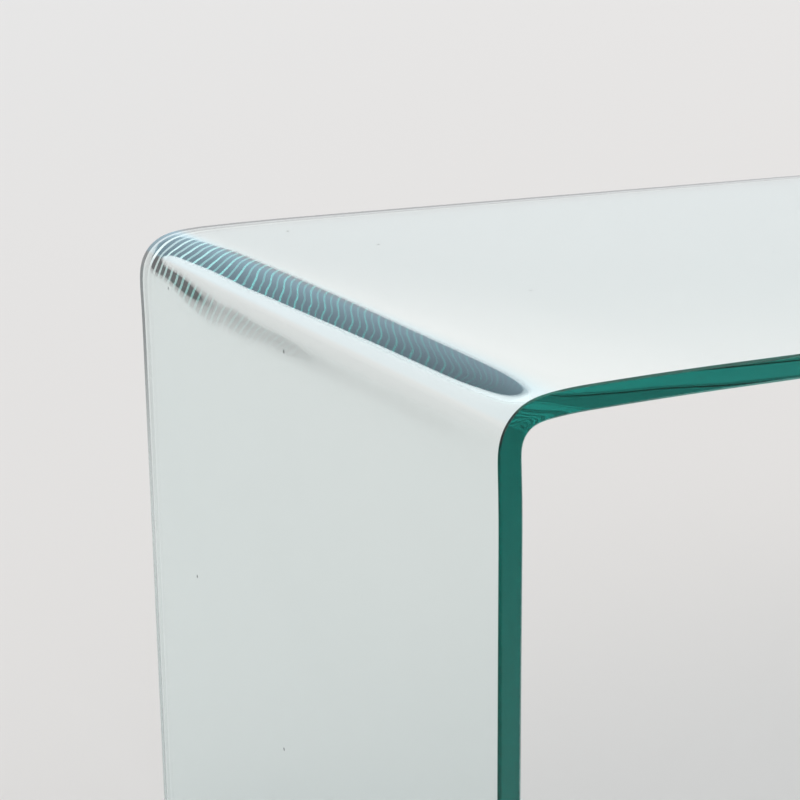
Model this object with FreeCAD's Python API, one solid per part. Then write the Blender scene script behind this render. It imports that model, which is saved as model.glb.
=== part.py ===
import FreeCAD, Part

import math
import os

# Waterfall coffee table: one sheet of clear glass, bent down at both ends into two panel legs.
# The ground edge of each leg stands on soft bumpers, each stuck on with a disc of clear tape.
# Millimetres, +Z up. The origin is on the floor under the middle of the table.
# +X runs along the table's length and -Y is its front.

# Overall sizes
LEG_SPAN = 1000.0  # over the outer faces of the two legs, at the floor
DEPTH = 500.0  # front edge to back edge
HEIGHT = 430.0  # floor to table top

# Glass sheet
GLASS_THICKNESS = 12.0
ARRIS = 1.3  # width of the 45 degree strip ground along every edge
CORNER_RADIUS = 5.0  # the sheet's corners, at the ends of each leg's foot

# Bend from leg to top. Radii are on the outer face. Heat leaves it uneven: the leg bows out
# a little under the bend, and the top takes a hand's breadth to settle to flat.
BEND_INNER_RADIUS = 11.5
LEG_BOW_RADIUS = 1000.0
LEG_BOW_ANGLE = 2.3
TOP_ROLL_RADIUS = 175.0
TOP_ROLL_ANGLE = 7.5
TOP_SETTLE_RADIUS = 3000.0
TOP_SETTLE_ANGLE = 1.5

# Bumpers and the tape discs that hold them
BUMPER_TOP_DIAMETER = 8.0
BUMPER_FLOOR_DIAMETER = 6.6
BUMPER_HEIGHT = 2.0
BUMPER_RIM_RADIUS = 0.5
TAPE_DIAMETER = 7.6
TAPE_THICKNESS = 0.2
BUMPER_SETBACK = 40.0  # centre of an end bumper to the end of the leg's foot

# Worked out from the sizes above
BEND_RADIUS = BEND_INNER_RADIUS + GLASS_THICKNESS
BEND_ANGLE = 90.0 + LEG_BOW_ANGLE - TOP_ROLL_ANGLE - TOP_SETTLE_ANGLE
FOOT_LEVEL = BUMPER_HEIGHT + TAPE_THICKNESS  # underside of the glass
LEG_CENTRE = (LEG_SPAN - GLASS_THICKNESS) / 2
END_ROW = DEPTH / 2 - BUMPER_SETBACK

# Each turn of the sheet from foot to top: radius of the outer face, and degrees, plus for outwards
TURNS = (
    (LEG_BOW_RADIUS, LEG_BOW_ANGLE),
    (BEND_RADIUS, -BEND_ANGLE),
    (TOP_ROLL_RADIUS, -TOP_ROLL_ANGLE),
    (TOP_SETTLE_RADIUS, -TOP_SETTLE_ANGLE),
)

DOWN = FreeCAD.Vector(0, 0, -1)
MIDDLE = FreeCAD.Vector(0, 0, 0)
LENGTHWAYS = FreeCAD.Vector(1, 0, 0)
TOUCH = 1e-6  # two lengths this close are the same


def beside(point, heading, distance):
    """The point that lies a distance to the right of a heading, in the XZ plane."""
    return point + FreeCAD.Vector(math.sin(heading), 0, -math.cos(heading)) * distance


def turn(start, heading, radius, degrees):
    """The middle point, end point and end heading of one arc of the section."""
    side = -1 if degrees > 0 else 1
    centre = beside(start, heading, side * radius)
    half_heading = heading + math.radians(degrees) / 2
    end_heading = heading + math.radians(degrees)
    middle = beside(centre, half_heading, -side * radius)
    end = beside(centre, end_heading, -side * radius)
    return middle, end, end_heading


def turns_from(start, inset):
    """The section's arcs, from the top of a leg's straight run, and the point where they end."""
    arcs = []
    point = start
    heading = math.radians(90)
    for radius, degrees in TURNS:
        radius_here = radius + math.copysign(inset, degrees)
        middle, end, heading = turn(point, heading, radius_here, degrees)
        arcs.append(Part.Arc(point, middle, end).toShape())
        point = end
    return arcs, point


def half_section(inset):
    """The left half of the sheet's section from foot to middle, inset from its outer face."""
    rise = turns_from(MIDDLE, 0)[1].z
    foot = FreeCAD.Vector(-LEG_SPAN / 2 + inset, 0, FOOT_LEVEL)
    leg_top = FreeCAD.Vector(foot.x, 0, HEIGHT - rise)
    arcs, flat_start = turns_from(leg_top, inset)
    leg = Part.LineSegment(foot, leg_top).toShape()
    top = Part.LineSegment(flat_start, FreeCAD.Vector(0, 0, flat_start.z)).toShape()
    return [leg, *arcs, top], foot


def sheet_section():
    """The closed section of the bent sheet, on the XZ plane."""
    outer, outer_foot = half_section(0)
    inner, inner_foot = half_section(GLASS_THICKNESS)
    foot = Part.LineSegment(outer_foot, inner_foot).toShape()
    half = [*outer, *inner, foot]
    other_half = [edge.mirror(MIDDLE, LENGTHWAYS) for edge in half]
    return Part.Face(Part.Wire(Part.__sortEdges__(half + other_half)))


def lies_on_rim(face):
    """True for the sheet's ground edge: its front, its back, its feet and its rounded corners."""
    box = face.BoundBox
    at_front_or_back = box.YLength < CORNER_RADIUS + TOUCH and abs(box.Center.y) > DEPTH / 2 - CORNER_RADIUS
    at_foot = box.ZMax < FOOT_LEVEL + TOUCH
    return at_front_or_back or at_foot


def rim_edges(solid):
    """The edges where the ground rim of the sheet meets its two broad faces."""
    edges = []
    for edge in solid.Edges:
        faces = solid.ancestorsOfType(edge, Part.Face)
        if sum(lies_on_rim(face) for face in faces) == 1:
            edges.append(edge)
    return edges


def corner_edges(solid):
    """The sheet's four square corners, each a short edge across its thickness."""
    ends = []
    for edge in solid.Edges:
        box = edge.BoundBox
        across = box.YLength < TOUCH and box.ZLength < TOUCH and abs(edge.Length - GLASS_THICKNESS) < TOUCH
        if across and box.ZMax < FOOT_LEVEL + TOUCH:
            ends.append(edge)
    return ends


def make_glass_sheet():
    """The bent sheet, with its corners rounded and an arris ground along its whole rim."""
    section = sheet_section()
    section.translate(FreeCAD.Vector(0, -DEPTH / 2, 0))
    blank = section.extrude(FreeCAD.Vector(0, DEPTH, 0)).removeSplitter()
    rounded = blank.makeFillet(CORNER_RADIUS, corner_edges(blank))
    return rounded.makeChamfer(ARRIS, rim_edges(rounded)).Solids[0]


def make_bumper(x, y):
    """A soft clear bumper, narrower and rounded where it meets the floor."""
    seat = FreeCAD.Vector(x, y, BUMPER_HEIGHT)
    blank = Part.makeCone(BUMPER_TOP_DIAMETER / 2, BUMPER_FLOOR_DIAMETER / 2, BUMPER_HEIGHT, seat, DOWN)
    floor_rim = [edge for edge in blank.Edges if edge.BoundBox.ZMax < TOUCH]
    return blank.makeFillet(BUMPER_RIM_RADIUS, floor_rim).Solids[0]


def make_tape_disc(x, y):
    """The disc of clear double-sided tape between a bumper and the foot of the glass."""
    under_glass = FreeCAD.Vector(x, y, FOOT_LEVEL)
    return Part.makeCylinder(TAPE_DIAMETER / 2, TAPE_THICKNESS, under_glass, DOWN)


def make_parts():
    """Every piece of the table, by the name of its node."""
    parts = {"glass_sheet": make_glass_sheet()}
    for end, x in (("left", -LEG_CENTRE), ("right", LEG_CENTRE)):
        for row, y in (("front", -END_ROW), ("middle", 0.0), ("back", END_ROW)):
            parts[f"bumper_{row}_{end}"] = make_bumper(x, y)
            parts[f"tape_disc_{row}_{end}"] = make_tape_disc(x, y)
    return parts


os.makedirs("parts", exist_ok=True)
for name, shape in make_parts().items():
    shape.exportStep(f"parts/{name}.step")
    print(name, "valid" if shape.isValid() else "NOT VALID", f"{shape.Volume:.1f} mm3")
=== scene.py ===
import logging
import math
from dataclasses import dataclass
from enum import Enum
from typing import ClassVar, NamedTuple

import bmesh
import bpy
from mathutils import Matrix, Vector


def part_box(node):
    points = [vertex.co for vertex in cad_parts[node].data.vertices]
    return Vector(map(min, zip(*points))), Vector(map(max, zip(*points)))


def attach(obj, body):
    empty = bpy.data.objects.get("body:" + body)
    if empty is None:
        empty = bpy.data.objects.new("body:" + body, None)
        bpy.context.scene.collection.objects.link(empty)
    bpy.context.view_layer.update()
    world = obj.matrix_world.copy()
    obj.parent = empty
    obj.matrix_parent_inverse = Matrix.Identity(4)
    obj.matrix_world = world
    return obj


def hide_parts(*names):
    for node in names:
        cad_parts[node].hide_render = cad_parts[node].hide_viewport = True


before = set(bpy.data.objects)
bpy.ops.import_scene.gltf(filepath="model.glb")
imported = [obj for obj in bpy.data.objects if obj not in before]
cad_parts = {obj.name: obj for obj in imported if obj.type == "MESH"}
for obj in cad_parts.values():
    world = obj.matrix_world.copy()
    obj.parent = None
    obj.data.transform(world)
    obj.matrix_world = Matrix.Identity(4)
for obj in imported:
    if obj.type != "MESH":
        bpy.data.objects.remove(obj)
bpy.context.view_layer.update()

# A waterfall coffee table: one sheet of clear glass, cut flat and bent down at both ends, standing
# on soft clear bumpers. Metres, +Z up, origin on the floor under the middle, -Y is the front.

log = logging.getLogger("coffee_table")

MM = 0.001
QUARTER_TURN = math.radians(90.0)
BODY = "root"
SHEET_NODE = "glass_sheet"
FLAT_PLACE = "flat_place"  # the sheet's attribute for a point's place before it is bent
ONE_OR_MORE = 0.5  # a count of bounces over this is at least one

Colour = tuple[float, float, float]
Range = tuple[float, float]
Shares = tuple[tuple[float, float], ...]
Socket = bpy.types.NodeSocket
Outputs = bpy.types.NodeOutputs
Source = Socket | float | str | tuple[float, ...]


class Repeated(Enum):
    """The pieces that come in several, by the prefix that their CAD nodes' names start with."""

    BUMPER = "bumper_"
    TAPE_DISC = "tape_disc_"

    def nodes(self) -> list[str]:
        """The names of this kind's CAD nodes, in order."""
        return sorted(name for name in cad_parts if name.startswith(self.value))


class Slot(Enum):
    """The material slots of the part's record, by name; no piece of this script takes them."""

    GLASS = "clear_glass"
    BUMPER = "clear_bumper"


class Mixed(Enum):
    """What a Mix node works on: its data type, and how its sockets' identifiers end."""

    NUMBER = ("FLOAT", "Float")
    VECTOR = ("VECTOR", "Vector")
    COLOUR = ("RGBA", "Color")


class Wiring:
    """Puts nodes into one tree and joins them up.

    Args:
        tree: The geometry or shader tree to work in.
    """

    def __init__(self, tree: bpy.types.NodeTree) -> None:
        """Keeps the tree."""
        self.tree = tree

    def put(self, kind: str, *sources: Source | None, **settings: object) -> bpy.types.Node:
        """Adds a node.

        Args:
            kind: The node's type name.
            sources: What feeds its inputs, in order; None leaves an input as it is.
            settings: Properties of the node.

        Returns:
            The new node.
        """
        node = self.tree.nodes.new(kind)
        for name, value in settings.items():
            setattr(node, name, value)
        for socket, source in zip(node.inputs, sources):
            self.feed(socket, source)
        return node

    def feed(self, socket: Socket, source: Source | None) -> None:
        """Links a socket to another one, or sets its value.

        Args:
            socket: The input.
            source: What feeds it; None leaves it as it is.
        """
        if isinstance(source, Socket):
            self.tree.links.new(source, socket)
        elif source is not None:
            socket.default_value = source

    def feed_named(self, node: bpy.types.Node, sources: dict[str, Source]) -> None:
        """Feeds some of a node's inputs, by their names."""
        for name, source in sources.items():
            self.feed(node.inputs[name], source)

    def maths(self, operation: str, *sources: Source) -> Socket:
        """A Math node's result."""
        return self.put("ShaderNodeMath", *sources, operation=operation).outputs[0]

    def vector(self, operation: str, *sources: Source) -> Socket:
        """A Vector Math node's result."""
        return self.put("ShaderNodeVectorMath", *sources, operation=operation).outputs[0]

    def split(self, vector: Source) -> Outputs:
        """A vector's x, y and z."""
        return self.put("ShaderNodeSeparateXYZ", vector).outputs

    def join(self, x: Source, y: Source, z: Source) -> Socket:
        """A vector of x, y and z."""
        return self.put("ShaderNodeCombineXYZ", x, y, z).outputs[0]

    def mix(self, kind: Mixed, share: Source, first: Source, second: Source) -> Socket:
        """A Mix node's result.

        Args:
            kind: What is mixed.
            share: The share of the second one.
            first: What there is at no share.
            second: What there is at a full share.

        Returns:
            The mixture.
        """
        data_type, ending = kind.value
        node = self.put("ShaderNodeMix", share, data_type=data_type)
        sockets = {socket.identifier: socket for socket in (*node.inputs, *node.outputs)}
        self.feed(sockets[f"A_{ending}"], first)
        self.feed(sockets[f"B_{ending}"], second)
        return sockets[f"Result_{ending}"]

    def blend(self, share: Source, first: Source, second: Source) -> Socket:
        """A colour between two, by the share of the second one."""
        ends = [(*end, 1.0) if isinstance(end, tuple) else end for end in (first, second)]
        return self.mix(Mixed.COLOUR, share, *ends)

    def ease(self, value: Source, start: float, end: float) -> Socket:
        """A share that goes softly from nothing to all, as a value goes from start to end."""
        kind = "ShaderNodeMapRange"
        return self.put(kind, value, start, end, interpolation_type="SMOOTHSTEP").outputs[0]

    def spread(self, share: Source, low: float, high: float) -> Socket:
        """A value that goes evenly from low to high with a share."""
        return self.put("ShaderNodeMapRange", share, 0.0, 1.0, low, high).outputs[0]

    def curve(self, along: Source, points: Shares) -> Socket:
        """A value that follows a smooth line through some points.

        Args:
            along: Where on the line to read it.
            points: The line's points, place and value, in order.

        Returns:
            The value.
        """
        node = self.put("ShaderNodeFloatCurve")
        self.feed(node.inputs["Value"], along)
        node.mapping.use_clip = False
        line = node.mapping.curves[0]
        while len(line.points) < len(points):
            line.points.new(0.5, 0.5)  # anywhere, as each is moved next
        for point, spot in zip(line.points, points):
            point.location = spot
            point.handle_type = "AUTO_CLAMPED"
        node.mapping.update()
        return node.outputs[0]

    def bump(self, height: Source, strength: float, distance: float) -> Socket:
        """A Bump node's normal.

        Args:
            height: What raises the surface.
            strength: How strongly it shows.
            distance: How far a height of one raises it, in metres.

        Returns:
            The normal.
        """
        node = self.put("ShaderNodeBump")
        self.feed_named(node, {"Height": height, "Strength": strength, "Distance": distance})
        return node.outputs[0]


def placed(name: str, data: bpy.types.ID) -> bpy.types.Object:
    """Puts a new object into the scene.

    Args:
        name: Its name.
        data: Its mesh, curve or camera.

    Returns:
        The object, at the origin.
    """
    made = bpy.data.objects.new(name, data)
    bpy.context.scene.collection.objects.link(made)
    return made


def smooth_mesh(shape: bmesh.types.BMesh, name: str) -> bpy.types.Mesh:
    """Turns a worked-out shape into a smooth mesh.

    Args:
        shape: The shape, which is used up.
        name: The mesh's name.

    Returns:
        The mesh.
    """
    for face in shape.faces:
        face.smooth = True
    mesh = bpy.data.meshes.new(name)
    shape.to_mesh(mesh)
    shape.free()
    return mesh


def geometry_tree(name: str, inputs: dict[str, str]) -> bpy.types.NodeTree:
    """Starts a geometry tree.

    Args:
        name: Its name.
        inputs: The kind of each input, by name, apart from the geometry that it starts from.

    Returns:
        The tree, with its inputs and its output.
    """
    tree = bpy.data.node_groups.new(name, "GeometryNodeTree")
    for socket, kind in {"Geometry": "Geometry", **inputs}.items():
        tree.interface.new_socket(socket, in_out="INPUT", socket_type=f"NodeSocket{kind}")
    tree.interface.new_socket("Geometry", in_out="OUTPUT", socket_type="NodeSocketGeometry")
    return tree


def end_tree(wiring: Wiring, geometry: Socket, material: Socket) -> None:
    """Ends a geometry tree: makes its shapes real and gives them their material.

    Args:
        wiring: The tree's wiring.
        geometry: The shapes.
        material: Their finish.
    """
    real = wiring.put("GeometryNodeRealizeInstances", geometry).outputs[0]
    dressed = wiring.put("GeometryNodeSetMaterial", real, None, material).outputs[0]
    wiring.feed(wiring.put("NodeGroupOutput").inputs[0], dressed)


def shaped(
    base: bpy.types.Object, tree: bpy.types.NodeTree, settings: dict[str, object]
) -> bpy.types.Object:
    """Runs a geometry tree on an object and keeps the result as its plain mesh.

    Args:
        base: The object, which the tree starts from.
        tree: The geometry tree.
        settings: Values for the tree's inputs, by name.

    Returns:
        The same object, with the finished mesh and no modifier.
    """
    modifier = base.modifiers.new("shape", "NODES")
    modifier.node_group = tree
    for item in tree.interface.items_tree:
        if item.in_out == "INPUT" and item.name in settings:
            modifier[item.identifier] = settings[item.name]
    bpy.context.view_layer.update()
    graph = bpy.context.evaluated_depsgraph_get()
    mesh = bpy.data.meshes.new_from_object(base.evaluated_get(graph))
    base.modifiers.remove(modifier)
    base.data = mesh
    mesh.name = base.name
    return base


def new_material(name: str) -> tuple[bpy.types.Material, Wiring, bpy.types.Node]:
    """Starts a material.

    Args:
        name: Its name.

    Returns:
        The material, its wiring and its shader.
    """
    made = bpy.data.materials.new(name)
    made.use_nodes = True
    return made, Wiring(made.node_tree), made.node_tree.nodes["Principled BSDF"]


@dataclass(frozen=True)
class Turn:
    """One round stretch of the sheet's section.

    Args:
        radius: Radius of the outer face.
        degrees: How far it turns, plus for away from the room under the table.
    """

    radius: float
    degrees: float

    @property
    def length(self) -> float:
        """Its length along the outer face."""
        return self.radius * math.radians(abs(self.degrees))

    @property
    def curvature(self) -> float:
        """How much it turns along each metre, in radians."""
        return math.copysign(1.0 / self.radius, self.degrees)


@dataclass
class SheetLine:
    """The line of the sheet's outer face, from the left foot to the right one, in the XZ plane.

    Its turns are eased into one another, as soft glass does it, and its straight runs are as long
    as the leg's height and the table's length need.

    Args:
        turns: The turns from leg to top, in order.
        height: From the feet to the table top.
        length: Over the legs where they stand out most.
        easing: Standard length over which one turn goes over into the next.
        step: Distance between the points that the line is worked out at.
    """

    turns: tuple[Turn, ...]
    height: float
    length: float
    easing: float
    step: float = 0.1 * MM

    def __post_init__(self) -> None:
        """Works out the straight runs."""
        self.leg_run, self.top_run = self.height, self.length
        points = self.points()
        self.leg_run += self.height - max(z for x, z in points)
        self.top_run += self.length - (max(x for x, z in points) - min(x for x, z in points))
        points = self.points()
        self.foot = -self.length / 2.0 - min(x for x, z in points)

    @property
    def bend_start(self) -> float:
        """Where the first turn begins along the line."""
        return self.leg_run

    @property
    def whole(self) -> float:
        """Length of the line."""
        return 2.0 * (self.leg_run + sum(turn.length for turn in self.turns)) + self.top_run

    def eased(self, past: float) -> float:
        """How much of a turn counts, where its start is softened.

        Args:
            past: Distance past the start, less than nothing before it.

        Returns:
            The length that counts.
        """
        share = 0.5 * (1.0 + math.erf(past / self.easing / math.sqrt(2.0)))
        bell = math.exp(-0.5 * (past / self.easing) ** 2) / math.sqrt(2.0 * math.pi)
        return past * share + self.easing * bell

    def heading(self, place: float) -> float:
        """The line's direction.

        Args:
            place: Where along the line.

        Returns:
            Its angle above level, in radians.
        """
        direction = QUARTER_TURN
        start, end = self.leg_run, self.whole - self.leg_run
        for turn in self.turns:
            first = self.eased(place - start) - self.eased(place - start - turn.length)
            last = self.eased(place - end + turn.length) - self.eased(place - end)
            direction += turn.curvature * (first + last)
            start, end = start + turn.length, end - turn.length
        return direction

    def points(self) -> list[tuple[float, float]]:
        """Points along the line at even steps.

        Returns:
            Each one's x and z, from nothing at the left foot.
        """
        count = round(self.whole / self.step)
        step = self.whole / count
        spots = [(0.0, 0.0)]
        for at in range(count):
            heading = self.heading((at + 0.5) * step)
            x, z = spots[-1]
            spots.append((x + step * math.cos(heading), z + step * math.sin(heading)))
        return spots

    def curve(self, level: float) -> bpy.types.Object:
        """The line as a curve object.

        Args:
            level: Height of the feet.

        Returns:
            A helper, which is removed once the sheet is bent.
        """
        spots = self.points()
        data = bpy.data.curves.new("sheet_line", "CURVE")
        data.dimensions = "3D"
        spline = data.splines.new("POLY")
        spline.points.add(len(spots) - 1)
        for point, (x, z) in zip(spline.points, spots):
            point.co = (x + self.foot, 0.0, z + level, 1.0)
        return placed("sheet_line", data)


@dataclass(frozen=True)
class FaintDust:
    """What settles on a clean surface, soft smears and a few fine specks, as a shader group.

    Args:
        smear_scale: How many smears there are to a metre.
        speck_scale: How many cells with a speck in each there are to a metre.
        speck_size: A speck's share of its cell.
    """

    smear_scale: float
    speck_scale: float
    speck_size: float

    NAME: ClassVar[str] = "faint dust"
    SMEAR_DETAIL: ClassVar[float] = 4.0
    SMEAR_DISTORTION: ClassVar[float] = 0.8
    SMEARED: ClassVar[Range] = (0.45, 0.75)  # noise at a smear's outline, and where it is thick

    def group(self) -> bpy.types.NodeTree:
        """The group, which is built once.

        Returns:
            A tree that takes a place, the smears' and specks' scales and the specks' size, and
            gives a mask of each.
        """
        if self.NAME in bpy.data.node_groups:
            return bpy.data.node_groups[self.NAME]
        tree = bpy.data.node_groups.new(self.NAME, "ShaderNodeTree")
        tree.interface.new_socket("Place", in_out="INPUT", socket_type="NodeSocketVector")
        for name in ("Smear Scale", "Speck Scale", "Speck Size"):
            tree.interface.new_socket(name, in_out="INPUT", socket_type="NodeSocketFloat")
        for name in ("Smears", "Specks"):
            tree.interface.new_socket(name, in_out="OUTPUT", socket_type="NodeSocketFloat")
        wiring = Wiring(tree)
        entry = wiring.put("NodeGroupInput").outputs
        noise = wiring.put("ShaderNodeTexNoise")
        wiring.feed_named(noise, {
            "Vector": entry["Place"],
            "Scale": entry["Smear Scale"],
            "Detail": self.SMEAR_DETAIL,
            "Distortion": self.SMEAR_DISTORTION,
        })
        cells = wiring.put("ShaderNodeTexVoronoi", voronoi_dimensions="2D")
        wiring.feed_named(cells, {"Vector": entry["Place"], "Scale": entry["Speck Scale"]})
        wiring.feed_named(wiring.put("NodeGroupOutput"), {
            "Smears": wiring.ease(noise.outputs["Fac"], *self.SMEARED),
            "Specks": wiring.maths("LESS_THAN", cells.outputs["Distance"], entry["Speck Size"]),
        })
        return tree

    def put(self, wiring: Wiring, place: Socket) -> Outputs:
        """Puts the group into a material.

        Args:
            wiring: The material's wiring.
            place: Where on the piece a point lies.

        Returns:
            The group's outputs.
        """
        node = wiring.put("ShaderNodeGroup", node_tree=self.group())
        wiring.feed_named(node, {
            "Place": place,
            "Smear Scale": self.smear_scale,
            "Speck Scale": self.speck_scale,
            "Speck Size": self.speck_size,
        })
        return node.outputs


@dataclass(frozen=True)
class ClearGlass:
    """Clear float glass, whose iron tints it green along a long way through it.

    Args:
        index: Refractive index.
        clean_colour: What it lets through where it is clean.
        smear_colour: What faint smears on it let through.
        speck_colour: What a speck of dust on it lets through.
        taken_per_metre: What a metre of it takes off red, green and blue, as exponents.
        dust: What lies on it.
        dust_shift: How far the dust moves across the sheet for each metre into the glass, so that
            its two faces differ.
    """

    index: float = 1.52
    clean_colour: Colour = (1.0, 1.0, 1.0)
    smear_colour: Colour = (0.985, 0.987, 0.987)
    speck_colour: Colour = (0.05, 0.05, 0.05)
    taken_per_metre: tuple[float, float, float] = (8.8, 3.15, 3.5)
    dust: FaintDust = FaintDust(6.0, 4.0, 0.0045)
    dust_shift: float = 17.0

    def material(self) -> bpy.types.Material:
        """Makes the glass.

        Returns:
            The finished material.
        """
        made, wiring, shader = new_material("clear float glass")
        flat = wiring.put("ShaderNodeAttribute", attribute_name=FLAT_PLACE).outputs["Vector"]
        x, y, z = wiring.split(flat)
        across = wiring.maths("MULTIPLY_ADD", z, self.dust_shift, y)
        dust = self.dust.put(wiring, wiring.join(x, across, 0.0))
        smeared = wiring.blend(dust["Smears"], self.clean_colour, self.smear_colour)
        wiring.feed_named(shader, {
            "Base Color": wiring.blend(dust["Specks"], smeared, self.speck_colour),
            "Roughness": 0.0,
            "IOR": self.index,
            "Transmission Weight": 1.0,
        })
        density = max(self.taken_per_metre)
        kept = (1.0 - taken / density for taken in self.taken_per_metre)
        body = wiring.put("ShaderNodeVolumeAbsorption", (*kept, 1.0), density)
        output = made.node_tree.nodes["Material Output"]
        wiring.feed(output.inputs["Volume"], body.outputs[0])
        return made


@dataclass(frozen=True)
class SoftBumper:
    """Clear soft plastic, a little cloudy.

    Args:
        colour: Its colour in thick places.
        cloudy_colour: Its colour where it has gone cloudy.
        roughness: Its roughness where it is clear, and where it is cloudy.
        index: Refractive index.
        clearness: Share of the light that goes through it.
        dust: What lies on it.
        speck_strength: How strongly a speck stands out.
        speck_height: How far it does.
    """

    colour: Colour = (0.93, 0.95, 0.94)
    cloudy_colour: Colour = (0.80, 0.82, 0.80)
    roughness: Range = (0.18, 0.34)
    index: float = 1.49
    clearness: float = 0.85
    dust: FaintDust = FaintDust(700.0, 900.0, 0.12)
    speck_strength: float = 0.12
    speck_height: float = 0.05 * MM

    def material(self) -> bpy.types.Material:
        """Makes the plastic.

        Returns:
            The finished material.
        """
        made, wiring, shader = new_material("clear soft bumper")
        dust = self.dust.put(wiring, wiring.put("ShaderNodeTexCoord").outputs["Object"])
        wiring.feed_named(shader, {
            "Base Color": wiring.blend(dust["Smears"], self.colour, self.cloudy_colour),
            "Roughness": wiring.spread(dust["Smears"], *self.roughness),
            "Normal": wiring.bump(dust["Specks"], self.speck_strength, self.speck_height),
            "IOR": self.index,
            "Transmission Weight": self.clearness,
        })
        return made


@dataclass(frozen=True)
class ClearTape:
    """A film of clear tape with a few trapped air bubbles.

    Args:
        colour: Its colour where it has wetted the glass.
        bubble_colour: Its colour over a bubble.
        roughness: Its roughness where it is clean, and where it is smeared.
        index: Refractive index.
        clearness: Share of the light that goes through it.
        bubbles: Its smears, and its bubbles as specks.
    """

    colour: Colour = (0.88, 0.90, 0.89)
    bubble_colour: Colour = (0.97, 0.97, 0.97)
    roughness: Range = (0.08, 0.22)
    index: float = 1.47
    clearness: float = 0.7
    bubbles: FaintDust = FaintDust(450.0, 1200.0, 0.25)

    def material(self) -> bpy.types.Material:
        """Makes the tape.

        Returns:
            The finished material.
        """
        made, wiring, shader = new_material("clear tape")
        bubbles = self.bubbles.put(wiring, wiring.put("ShaderNodeTexCoord").outputs["Object"])
        wiring.feed_named(shader, {
            "Base Color": wiring.blend(bubbles["Specks"], self.colour, self.bubble_colour),
            "Roughness": wiring.spread(bubbles["Smears"], *self.roughness),
            "IOR": self.index,
            "Transmission Weight": self.clearness,
        })
        return made


@dataclass(frozen=True)
class PaleFloor:
    """A plain pale floor, with painted shade in front of the table that only reflections show.

    Args:
        colour: Its colour.
        dim_colour: Painted shade: the floor's colour in reflections, where the studio's light ends.
        glow: Light of its own, which keeps the shadow soft.
        roughness: Its roughness.
        dim_towards: Direction in which the painted shade darkens it.
        dim_from: How far that way from the table's middle the painted shade starts.
        dim_to: How far that way the painted shade is at its darkest, where the light has ended.
    """

    colour: Colour = (0.469, 0.474, 0.474)
    dim_colour: Colour = (0.095, 0.098, 0.10)
    glow: float = 0.5
    roughness: float = 0.7
    dim_towards: tuple[float, float, float] = (-0.5, -0.87, 0.0)
    dim_from: float = 0.5
    dim_to: float = 1.25

    def material(self) -> bpy.types.Material:
        """Makes the floor's finish.

        Returns:
            The finished material.
        """
        made, wiring, shader = new_material("pale floor")
        place = wiring.put("ShaderNodeTexCoord").outputs["Object"]
        ahead = wiring.put(
            "ShaderNodeVectorMath", place, self.dim_towards, operation="DOT_PRODUCT"
        )
        front = wiring.ease(ahead.outputs["Value"], self.dim_from, self.dim_to)
        # Painted shade: the floor's colour darkens in front of the table, for reflected rays only.
        path = wiring.put("ShaderNodeLightPath").outputs
        mirrored = wiring.maths("GREATER_THAN", path["Glossy Depth"], ONE_OR_MORE)
        dim = wiring.maths("MULTIPLY", front, mirrored)
        colour = wiring.blend(dim, self.colour, self.dim_colour)
        wiring.feed_named(shader, {
            "Base Color": colour,
            "Emission Color": colour,
            "Emission Strength": self.glow,
            "Roughness": self.roughness,
        })
        return made


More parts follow.
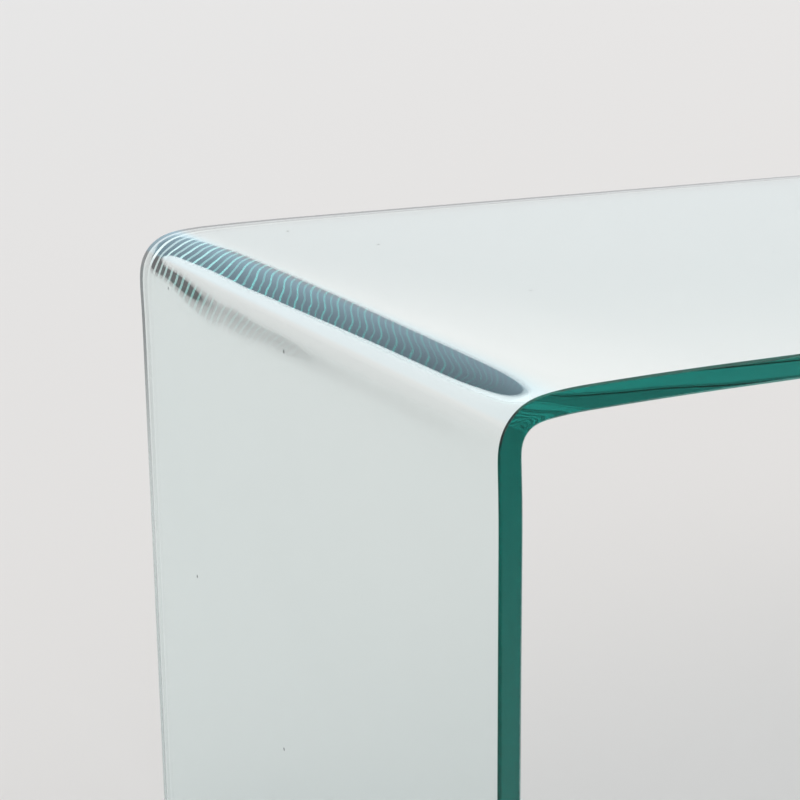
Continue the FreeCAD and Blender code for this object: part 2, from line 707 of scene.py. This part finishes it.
@dataclass(frozen=True)
class SoftLight:
    """Light from all round: a cool soft box behind the table, white above it and dim in front.

    A range says where something fades in, and where it is all there.

    Args:
        above: Colour of the light from above.
        box: Colour of the soft box that stands behind the table, on the glass.
        box_through: Its colour through the glass.
        behind: Colour of what is under the soft box.
        ahead: Colour of the light from low in front of the table, as the glass leads it.
        ahead_outside: Share of that dimness for light that hasn't been in the glass.
        backdrop: Colour that is seen where nothing stands in the way.
        above_range: Rise of a direction, for the light from above.
        box_range: Rise of a direction, for the soft box.
        box_right: Degrees round from the right, seen from the front, for the box's right end.
        box_left: The same for its left end.
        ahead_range: How far back a direction points, for the dim front.
    """

    above: Colour = (1.05, 1.0, 0.95)
    box: Colour = (0.99, 1.38, 1.63)
    box_through: Colour = (1.27, 1.2, 1.2)
    behind: Colour = (0.90, 0.89, 0.91)
    ahead: Colour = (0.16, 0.17, 0.18)
    ahead_outside: float = 0.25
    backdrop: Colour = (0.80, 0.80, 0.79)
    above_range: Range = (0.5, 0.8)
    box_range: Range = (0.18, 0.28)
    box_right: Range = (33.0, 48.0)
    box_left: Range = (148.0, 134.0)
    ahead_range: Range = (0.25, -0.35)

    def build(self) -> bpy.types.World:
        """Makes the scene's world.

        Returns:
            The world.
        """
        world = bpy.data.worlds.new("soft light")
        bpy.context.scene.world = world
        world.use_nodes = True
        wiring = Wiring(world.node_tree)
        x, y, z = wiring.split(wiring.put("ShaderNodeTexCoord").outputs["Generated"])
        path = wiring.put("ShaderNodeLightPath").outputs
        bounced = wiring.maths("GREATER_THAN", path["Glossy Depth"], ONE_OR_MORE)
        outside = wiring.maths("LESS_THAN", path["Transmission Depth"], ONE_OR_MORE)
        mirrored = wiring.maths("MULTIPLY", bounced, outside)
        turned = wiring.maths("ARCTAN2", z, x)
        right = wiring.ease(turned, *map(math.radians, self.box_right))
        left = wiring.ease(turned, *map(math.radians, self.box_left))
        cool = wiring.maths("MULTIPLY", mirrored, wiring.maths("MULTIPLY", right, left))
        box = wiring.blend(cool, self.box_through, self.box)
        back = wiring.blend(wiring.ease(z, *self.box_range), self.behind, box)
        led = wiring.maths("SUBTRACT", bounced, mirrored)
        dimmed = wiring.maths("MAXIMUM", led, self.ahead_outside)
        dim = wiring.maths("MULTIPLY", wiring.ease(y, *self.ahead_range), dimmed)
        low = wiring.blend(dim, back, self.ahead)
        light = wiring.blend(wiring.ease(z, *self.above_range), low, self.above)
        straight = wiring.maths("SUBTRACT", 1.0, bounced)
        through = wiring.maths("MULTIPLY", path["Is Transmission Ray"], straight)
        seen = wiring.maths("MAXIMUM", path["Is Camera Ray"], through)
        background = world.node_tree.nodes["Background"]
        wiring.feed(background.inputs["Color"], wiring.blend(seen, light, self.backdrop))
        return world


class Row(NamedTuple):
    """One row of points across the flat sheet.

    Args:
        rim: Its place along the sheet, on the ground rim.
        half: Half the sheet's width there.
        face: Its place along the sheet, on the broad faces.
        front: Where the broad faces begin across the sheet.
        back: Where they end.
    """

    rim: float
    half: float
    face: float
    front: float
    back: float


@dataclass
class GlassSheet:
    """The bent sheet: top, both bends and both legs in one piece of glass.

    Lengths along the sheet are measured on its outer face, from the foot of the left leg. The
    fields that end in along hold pairs: a share of the depth from front to back, and a share of
    some size there.

    Args:
        thickness: Thickness of the glass.
        arris: Width of the strip ground along its edges.
        front_arris_in_bend: The front arris's width in the middle of a bend.
        back_arris_in_bend: The back arris's width there.
        arris_reach: How far from there the arris takes on its own width.
        corner_radius: Rounding of the sheet's corners, at the ends of its feet.
        corner_steps: Facets round a corner.
        bow: The turn that bows the leg outwards, under the bend.
        bend: The bend.
        roll: The turn that rolls the top into the bend.
        settle: The turn in which the top settles to flat.
        front_easing: Standard length over which a turn goes over into the next, at the front.
        back_easing: The same at the back.
        fine_step: Distance between rows in the bend.
        fine_margin: How far past the bend's ends the rows are as close.
        step_growth: What the distance between rows gains on the way on, as a share of the way.
        coarse_step: The most that it becomes.
        columns: Strips of the sheet between its front and its back.
        sharp_angle: Degrees between two faces from which on their edge is sharp.
        thinning_centre: Where the sheet is thinnest, past the start of its first turn.
        thinning_leg_reach: How far from there the thinning goes down the leg.
        thinning_top_reach: How far it goes along the top.
        thinning_most: How much thinner the sheet is where thinning_along is one.
        easing_along: Shares of the back's line, against the front's.
        thinning_along: Shares of the thinning.
        top_reach_along: Shares of its reach along the top.
        leg_reach_along: Shares of its reach down the leg.
    """

    thickness: float = 12.0 * MM
    arris: float = 1.45 * MM
    front_arris_in_bend: float = 0.8 * MM
    back_arris_in_bend: float = 2.0 * MM
    arris_reach: float = 110.0 * MM
    corner_radius: float = 5.0 * MM
    corner_steps: int = 8
    bow: Turn = Turn(1000.0 * MM, 2.3)
    bend: Turn = Turn(23.5 * MM, -83.3)
    roll: Turn = Turn(175.0 * MM, -7.5)
    settle: Turn = Turn(3000.0 * MM, -1.5)
    front_easing: float = 5.0 * MM
    back_easing: float = 8.5 * MM
    fine_step: float = 0.3 * MM
    fine_margin: float = 8.0 * MM
    step_growth: float = 0.1
    coarse_step: float = 40.0 * MM
    columns: int = 64
    sharp_angle: float = 20.0
    thinning_centre: float = 58.0 * MM
    thinning_leg_reach: float = 26.0 * MM
    thinning_top_reach: float = 17.0 * MM
    thinning_most: float = 3.0 * MM
    easing_along: Shares = ((0.0, 0.0), (0.1, 0.45), (0.3, 0.85), (1.0, 1.0))
    thinning_along: Shares = (
        (0.0, 0.1), (0.012, 0.13), (0.028, 0.34), (0.05, 0.51), (0.08, 0.63), (0.11, 0.7),
        (0.14, 0.73), (0.2, 0.75), (0.27, 0.77), (0.37, 0.84), (0.5, 0.94), (0.6, 0.95),
        (0.7, 0.86), (0.8, 0.79), (0.86, 0.76), (0.92, 0.72), (0.955, 0.5), (0.973, 0.28),
        (0.985, 0.1), (1.0, 0.05),
    )
    top_reach_along: Shares = ((0.0, 1.0), (0.75, 1.0), (0.88, 0.85), (0.95, 0.75), (1.0, 0.7))
    leg_reach_along: Shares = (
        (0.0, 0.95), (0.3, 0.8), (0.5, 0.8), (0.62, 0.84), (0.7, 0.84), (0.76, 0.77),
        (0.81, 0.66), (0.86, 0.54), (0.9, 0.48), (1.0, 0.46),
    )

    def __post_init__(self) -> None:
        """Takes the sheet's place and overall sizes from the frame."""
        low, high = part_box(SHEET_NODE)
        self.foot_level = low.z
        self.depth = high.y - low.y
        turns = (self.bow, self.bend, self.roll, self.settle)
        self.line, self.back_line = (
            SheetLine(turns, high.z - low.z, high.x - low.x, easing)
            for easing in (self.front_easing, self.back_easing)
        )

    def step_past(self, distance: float) -> float:
        """The step to the next row, at a distance from the close rows of the bend."""
        return min(self.coarse_step, self.fine_step + self.step_growth * distance)

    def stations(self) -> list[float]:
        """Where rows lie along the left half of the flat sheet, past its rounded corners.

        Returns:
            Their places, from the foot to the sheet's middle.
        """
        start = self.line.bend_start + self.bow.length - self.fine_margin
        end = start + self.bend.length + 2.0 * self.fine_margin
        before, after = [], [start]
        while after[-1] < end:
            after.append(after[-1] + self.fine_step)
        place, middle = after[-1], self.line.whole / 2.0
        while place < middle:
            place += self.step_past(place - end)
            after.append(min(place, middle))
        place = start
        while place > self.corner_radius:
            place -= self.step_past(start - place)
            before.append(place)
        past_corner = 2.0 * self.corner_radius
        return [place for place in reversed(before) if place > past_corner] + after

    def arrises(self, place: float) -> tuple[float, float]:
        """Widths of the ground arrises.

        Args:
            place: Where along the sheet.

        Returns:
            The front arris's width and the back one's.
        """
        bend = self.line.bend_start + self.bow.length + self.bend.length / 2.0
        away = min(place, self.line.whole - place) - bend
        share = math.exp(-((away / self.arris_reach) ** 2))
        in_bend = (self.front_arris_in_bend, self.back_arris_in_bend)
        front, back = (self.arris + share * (width - self.arris) for width in in_bend)
        return front, back

    def rows(self) -> list[Row]:
        """The rows of the flat sheet.

        Returns:
            All of them, from the left foot to the right one.
        """
        radius, inner = self.corner_radius, self.corner_radius - self.arris
        half = self.depth / 2.0
        middle = half - radius
        left = []
        for step in range(self.corner_steps + 1):
            angle = QUARTER_TURN * step / self.corner_steps
            run, out = math.cos(angle), math.sin(angle)
            side = middle + inner * out
            rim, face = radius - radius * run, radius - inner * run
            left.append(Row(rim, middle + radius * out, face, -side, side))
        for place in self.stations():
            front, back = self.arrises(place)
            left.append(Row(place, half, place, front - half, half - back))
        whole = self.line.whole
        mirrored = left[-2::-1]
        return left + [row._replace(rim=whole - row.rim, face=whole - row.face) for row in mirrored]

    def shares_across(self) -> list[float]:
        """Where the sheet's columns lie, closer together towards its front and its back.

        Returns:
            Shares of the broad faces' width, from front to back.
        """
        even = [2.0 * column / self.columns - 1.0 for column in range(self.columns + 1)]
        return [0.5 + (share + math.sin(QUARTER_TURN * share)) / 4.0 for share in even]

    def blank(self) -> bpy.types.Mesh:
        """The sheet as it is cut: flat, ground along its rim, length along X and outer face up.

        Returns:
            A closed mesh, with sharp edges where the rim is ground.
        """
        shape = bmesh.new()
        loops = []
        shares = self.shares_across()
        for row in self.rows():
            across = [row.front + share * (row.back - row.front) for share in shares]
            outer = [shape.verts.new((row.face, y, 0.0)) for y in across]
            inner = [shape.verts.new((row.face, y, -self.thickness)) for y in across]
            edges = []
            for side, arris in zip((-row.half, row.half), self.arrises(row.face)):
                levels = (-arris, arris - self.thickness)
                edges.append([shape.verts.new((row.rim, side, level)) for level in levels])
            front, back = edges
            loops.append([*outer, *back, *reversed(inner), *reversed(front)])
        for one, other in zip(loops, loops[1:]):
            for at in range(len(one)):
                after = (at + 1) % len(one)
                shape.faces.new((one[at], one[after], other[after], other[at]))
        self.close_foot(shape, loops[0], 0.0)
        self.close_foot(shape, loops[-1], self.line.whole)
        bmesh.ops.recalc_face_normals(shape, faces=shape.faces)
        for edge in shape.edges:
            edge.smooth = edge.calc_face_angle() < math.radians(self.sharp_angle)
        return smooth_mesh(shape, "flat_sheet")

    def close_foot(
        self, shape: bmesh.types.BMesh, loop: list[bmesh.types.BMVert], place: float
    ) -> None:
        """Grinds the arris along a foot and closes its end.

        Args:
            shape: The flat sheet.
            loop: The sheet's last row there: outer face, back rim, inner face, front rim.
            place: Where the foot's rim lies along the sheet.
        """
        count = self.columns + 1
        outer, back = loop[:count], loop[count:count + 2]
        inner, front = loop[count + 2:2 * count + 2][::-1], loop[-2:][::-1]
        edges = []
        corners = ((0, outer, -self.arris), (1, inner, self.arris - self.thickness))
        for side, row, level in corners:
            between = [shape.verts.new((place, vert.co.y, level)) for vert in row[1:-1]]
            edges.append([front[side], *between, back[side]])
        upper, lower = edges
        for one, other in ((outer, upper), (inner, lower), (upper, lower)):
            for at in range(count - 1):
                shape.faces.new((one[at], one[at + 1], other[at + 1], other[at]))

    def build(self, finish: ClearGlass) -> bpy.types.Object:
        """Cuts the flat sheet, bends it and gives it its finish.

        Args:
            finish: The glass.

        Returns:
            The bent sheet, which stands for its CAD node.
        """
        flat = placed("bent_glass_sheet", self.blank())
        helpers = [line.curve(self.foot_level) for line in (self.line, self.back_line)]
        nodes = HotBend(self)
        lines = dict(zip(nodes.LINES, helpers))
        settings = {**lines, **nodes.sizes(), "Finish": finish.material()}
        sheet = shaped(flat, nodes.tree(), settings)
        for helper in helpers:
            bpy.data.objects.remove(helper)
        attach(sheet, BODY)
        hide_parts(SHEET_NODE)
        return sheet


@dataclass
class HotBend:
    """The geometry nodes that bend the flat sheet.

    Args:
        sheet: The sheet that is bent.
    """

    sheet: GlassSheet

    LINES: ClassVar[tuple[str, str]] = ("Front Line", "Back Line")

    def sizes(self) -> dict[str, float]:
        """The sizes that the tree needs.

        Returns:
            Each one in metres, by the name of its input.
        """
        sheet = self.sheet
        return {
            "Depth": sheet.depth,
            "Glass Thickness": sheet.thickness,
            "Sheet Length": sheet.line.whole,
            "Thinning": sheet.thinning_most,
            "Thinning Centre": sheet.line.bend_start + sheet.thinning_centre,
            "Thinning Leg Reach": sheet.thinning_leg_reach,
            "Thinning Top Reach": sheet.thinning_top_reach,
        }

    def tree(self) -> bpy.types.NodeTree:
        """Builds the whole tree.

        Returns:
            The tree, whose inputs are the two lines, the sizes and the finish.
        """
        lines, sizes = dict.fromkeys(self.LINES, "Object"), dict.fromkeys(self.sizes(), "Float")
        tree = geometry_tree("hot bend", {**lines, **sizes, "Finish": "Material"})
        wiring = Wiring(tree)
        size = wiring.put("NodeGroupInput").outputs
        position = wiring.put("GeometryNodeInputPosition").outputs[0]
        flat = wiring.split(position)
        along = wiring.maths("ADD", wiring.maths("DIVIDE", flat["Y"], size["Depth"]), 0.5)
        place, tangent = self.on_lines(wiring, size, flat["X"], along)
        ahead = wiring.split(wiring.vector("NORMALIZE", tangent))
        inwards = wiring.join(ahead["Z"], 0.0, wiring.maths("MULTIPLY", ahead["X"], -1.0))
        deep = wiring.maths("MULTIPLY", flat["Z"], -1.0)
        inset = wiring.maths("SUBTRACT", deep, self.thinned(wiring, size, flat, along))
        scaled = wiring.put("ShaderNodeVectorMath", inwards, operation="SCALE")
        wiring.feed(scaled.inputs["Scale"], inset)
        across = wiring.join(0.0, flat["Y"], 0.0)
        bent = wiring.vector("ADD", wiring.vector("ADD", place, scaled.outputs[0]), across)
        marked = wiring.put(
            "GeometryNodeStoreNamedAttribute", size["Geometry"], None, FLAT_PLACE,
            data_type="FLOAT_VECTOR", domain="POINT",
        )
        wiring.feed(marked.inputs["Value"], position)
        moved = wiring.put("GeometryNodeSetPosition", marked.outputs[0], None, bent)
        end_tree(wiring, moved.outputs[0], size["Finish"])
        return tree

    def on_lines(
        self, wiring: Wiring, size: Outputs, from_left: Socket, along: Socket
    ) -> tuple[Socket, Socket]:
        """Where a point of the flat sheet comes to lie, between the lines of front and back.

        Args:
            wiring: The tree's wiring.
            size: The tree's inputs.
            from_left: The point's distance along the flat sheet.
            along: The share of the depth in front of it.

        Returns:
            The point of the outer face, and the sheet's direction there.
        """
        share = wiring.maths("DIVIDE", from_left, size["Sheet Length"])
        spots = []
        for name in self.LINES:
            line = wiring.put("GeometryNodeObjectInfo", size[name]).outputs["Geometry"]
            spot = wiring.put("GeometryNodeSampleCurve", line, mode="FACTOR")
            wiring.feed(spot.inputs["Factor"], share)
            spots.append(spot.outputs)
        front, back = spots
        of_back = wiring.curve(along, self.sheet.easing_along)
        place = wiring.mix(Mixed.VECTOR, of_back, front["Position"], back["Position"])
        tangent = wiring.mix(Mixed.VECTOR, of_back, front["Tangent"], back["Tangent"])
        return place, tangent

    def thinned(self, wiring: Wiring, size: Outputs, flat: Outputs, along: Socket) -> Socket:
        """How far the inner face is drawn towards the outer one, where the hot sheet stretched.

        Args:
            wiring: The tree's wiring.
            size: The tree's inputs.
            flat: The point's place on the flat sheet.
            along: The share of the depth in front of it.

        Returns:
            The distance, which is nothing on the outer face.
        """
        sheet = self.sheet
        from_right = wiring.maths("SUBTRACT", size["Sheet Length"], flat["X"])
        from_foot = wiring.maths("MINIMUM", flat["X"], from_right)
        past = wiring.maths("SUBTRACT", from_foot, size["Thinning Centre"])
        reaches = {
            "Thinning Top Reach": sheet.top_reach_along,
            "Thinning Leg Reach": sheet.leg_reach_along,
        }
        bells = []
        for name, shares in reaches.items():
            reach = wiring.maths("MULTIPLY", size[name], wiring.curve(along, shares))
            far = wiring.maths("ABSOLUTE", wiring.maths("DIVIDE", past, reach))
            square = wiring.maths("POWER", far, 2.0)
            bells.append(wiring.maths("EXPONENT", wiring.maths("MULTIPLY", square, -1.0)))
        on_leg = wiring.maths("LESS_THAN", past, 0.0)
        bell = wiring.mix(Mixed.NUMBER, on_leg, *bells)
        most = wiring.maths("MULTIPLY", size["Thinning"], wiring.curve(along, sheet.thinning_along))
        half_way = wiring.maths("MULTIPLY", size["Glass Thickness"], -0.5)
        inside = wiring.maths("LESS_THAN", flat["Z"], half_way)
        return wiring.maths("MULTIPLY", wiring.maths("MULTIPLY", most, bell), inside)


@dataclass
class Bumpers:
    """The soft bumpers under both feet, and the discs of tape that hold them.

    Args:
        rim_radius: Rounding where a bumper meets the floor.
        seat_radius: Rounding where it meets the tape.
        taper: How much less wide it is at the floor than at its seat, across.
        dish: How far the middle of its floor side is hollowed.
        dish_share: Share of that side's radius at which half of the hollow is left.
        segments: Facets round it.
        rounding_steps: Facets across a rounding.
        weld: Points this close are one.
    """

    rim_radius: float = 0.5 * MM
    seat_radius: float = 0.15 * MM
    taper: float = 1.4 * MM
    dish: float = 0.06 * MM
    dish_share: float = 0.6
    segments: int = 48
    rounding_steps: int = 6
    weld: float = 0.0001 * MM

    def profile(self, radius: float, height: float) -> list[tuple[float, float]]:
        """Half of a bumper's section, from the middle of its floor side to that of its seat.

        Args:
            radius: Its radius at the seat.
            height: Its height.

        Returns:
            Points as distance from the axis and height.
        """
        floor_radius = radius - self.taper / 2.0
        points = [(0.0, self.dish), (self.dish_share * floor_radius, self.dish / 2.0)]
        steps = range(self.rounding_steps + 1)
        angles = [QUARTER_TURN * step / self.rounding_steps for step in steps]
        for angle in angles:
            inwards, up = 1.0 - math.sin(angle), 1.0 - math.cos(angle)
            points.append((floor_radius - self.rim_radius * inwards, self.rim_radius * up))
        for angle in angles:
            inwards, down = 1.0 - math.cos(angle), 1.0 - math.sin(angle)
            points.append((radius - self.seat_radius * inwards, height - self.seat_radius * down))
        return [*points, (0.0, height)]

    def one(self, radius: float, height: float) -> bpy.types.Object:
        """A single bumper on the floor at the origin, which the tree repeats.

        Args:
            radius: Its radius at the seat.
            height: Its height.

        Returns:
            A helper, which is removed once the bumpers are made.
        """
        shape = bmesh.new()
        line = [shape.verts.new((out, 0.0, up)) for out, up in self.profile(radius, height)]
        edges = [shape.edges.new(pair) for pair in zip(line, line[1:])]
        bmesh.ops.spin(
            shape,
            geom=[*line, *edges],
            cent=(0.0, 0.0, 0.0),
            axis=(0.0, 0.0, 1.0),
            angle=2.0 * math.pi,
            steps=self.segments,
        )
        bmesh.ops.remove_doubles(shape, verts=shape.verts, dist=self.weld)
        bmesh.ops.recalc_face_normals(shape, faces=shape.faces)
        return placed("bumper", smooth_mesh(shape, "bumper"))

    def tree(self) -> bpy.types.NodeTree:
        """Builds the geometry nodes that put one bumper on every point.

        Returns:
            The tree.
        """
        tree = geometry_tree("bumper rows", {"Bumper": "Object", "Finish": "Material"})
        wiring = Wiring(tree)
        entry = wiring.put("NodeGroupInput").outputs
        bumper = wiring.put("GeometryNodeObjectInfo", entry["Bumper"]).outputs["Geometry"]
        rows = wiring.put("GeometryNodeInstanceOnPoints", entry["Geometry"], None, bumper)
        end_tree(wiring, rows.outputs[0], entry["Finish"])
        return tree

    def build(self, finish: SoftBumper) -> bpy.types.Object:
        """Makes the bumpers.

        Args:
            finish: Their plastic.

        Returns:
            One piece, which stands for all their CAD nodes.
        """
        names = Repeated.BUMPER.nodes()
        boxes = [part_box(name) for name in names]
        spots = [((low.x + high.x) / 2.0, (low.y + high.y) / 2.0, low.z) for low, high in boxes]
        mesh = bpy.data.meshes.new("bumper_spots")
        mesh.from_pydata(spots, [], [])
        low, high = boxes[0]
        one = self.one((high.x - low.x) / 2.0, high.z - low.z)
        settings = {"Bumper": one, "Finish": finish.material()}
        rows = shaped(placed("soft_bumpers", mesh), self.tree(), settings)
        bpy.data.objects.remove(one)
        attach(rows, BODY)
        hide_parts(*names)
        return rows

    def dress_tape(self, finish: ClearTape) -> list[bpy.types.Object]:
        """Gives the tape discs, which stay as they are in CAD, their finish.

        Args:
            finish: The tape.

        Returns:
            The discs.
        """
        discs = [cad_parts[name] for name in Repeated.TAPE_DISC.nodes()]
        material = finish.material()
        for disc in discs:
            disc.data.materials.clear()
            disc.data.materials.append(material)
        return discs


@dataclass(frozen=True)
class View:
    """The camera: where it stands and how it is turned.

    Args:
        place: Its place, in metres.
        yaw: Turn from +Y towards +X, in degrees.
        pitch: Dip below level, in degrees.
        roll: Turn about its own axis, in degrees.
        focal_pixels: Focal length in pixels of a picture that is picture_pixels wide.
        picture_pixels: Width of the picture.
        sensor_width: Width of the sensor, in millimetres.
        nearest: What is nearer than this isn't seen, in metres.
    """

    place: tuple[float, float, float] = (-0.8694, -0.92445, 0.62619)
    yaw: float = 25.512
    pitch: float = 14.478
    roll: float = -0.628
    focal_pixels: float = 1855.56
    picture_pixels: float = 800.0
    sensor_width: float = 36.0
    nearest: float = 0.05

    def build(self) -> bpy.types.Object:
        """Makes the scene's camera.

        Returns:
            The camera.
        """
        yaw, pitch, roll = map(math.radians, (self.yaw, self.pitch, self.roll))
        reach, dip = math.cos(pitch), math.sin(pitch)
        ahead = Vector((math.sin(yaw) * reach, math.cos(yaw) * reach, -dip))
        level = Vector((math.cos(yaw), -math.sin(yaw), 0.0))
        upright = level.cross(ahead)
        right = math.cos(roll) * level + math.sin(roll) * upright
        up = -math.sin(roll) * level + math.cos(roll) * upright
        data = bpy.data.cameras.new("camera")
        data.sensor_width = self.sensor_width
        data.lens = data.sensor_width * self.focal_pixels / self.picture_pixels
        data.clip_start = self.nearest
        camera = placed("camera", data)
        turned = Matrix((right, up, -ahead)).transposed().to_4x4()
        camera.matrix_world = Matrix.Translation(self.place) @ turned
        bpy.context.scene.camera = camera
        return camera


@dataclass
class Studio:
    """The floor, the light and the picture's settings.

    Args:
        floor_reach: How far the floor goes from the table's middle.
        bounces: How often light is followed from face to face of the glass.
    """

    floor_reach: float = 40.0
    bounces: int = 96

    def build(self) -> None:
        """Sets up everything that isn't the table."""
        self.floor()
        SoftLight().build()
        scene = bpy.context.scene
        scene.view_settings.view_transform = "Standard"
        scene.cycles.max_bounces = self.bounces
        scene.cycles.glossy_bounces = self.bounces
        scene.cycles.transmission_bounces = self.bounces

    def floor(self) -> bpy.types.Object:
        """Lays the floor.

        Returns:
            The floor.
        """
        reach = self.floor_reach
        corners = [(-reach, -reach), (reach, -reach), (reach, reach), (-reach, reach)]
        mesh = bpy.data.meshes.new("floor")
        mesh.from_pydata([(x, y, 0.0) for x, y in corners], [], [(0, 1, 2, 3)])
        mesh.materials.append(PaleFloor().material())
        floor = placed("floor", mesh)
        return floor


def main() -> None:
    """Builds the table and the studio round it."""
    logging.basicConfig(level=logging.INFO, format="%(name)s: %(message)s")
    sheet = GlassSheet().build(ClearGlass())
    log.info("%s: %d faces", sheet.name, len(sheet.data.polygons))
    bumpers = Bumpers()
    rows = bumpers.build(SoftBumper())
    log.info("%s: %d faces", rows.name, len(rows.data.polygons))
    discs = bumpers.dress_tape(ClearTape())
    log.info("tape discs: %d", len(discs))
    Studio().build()
    View().build()


if __name__ == "__main__":
    main()
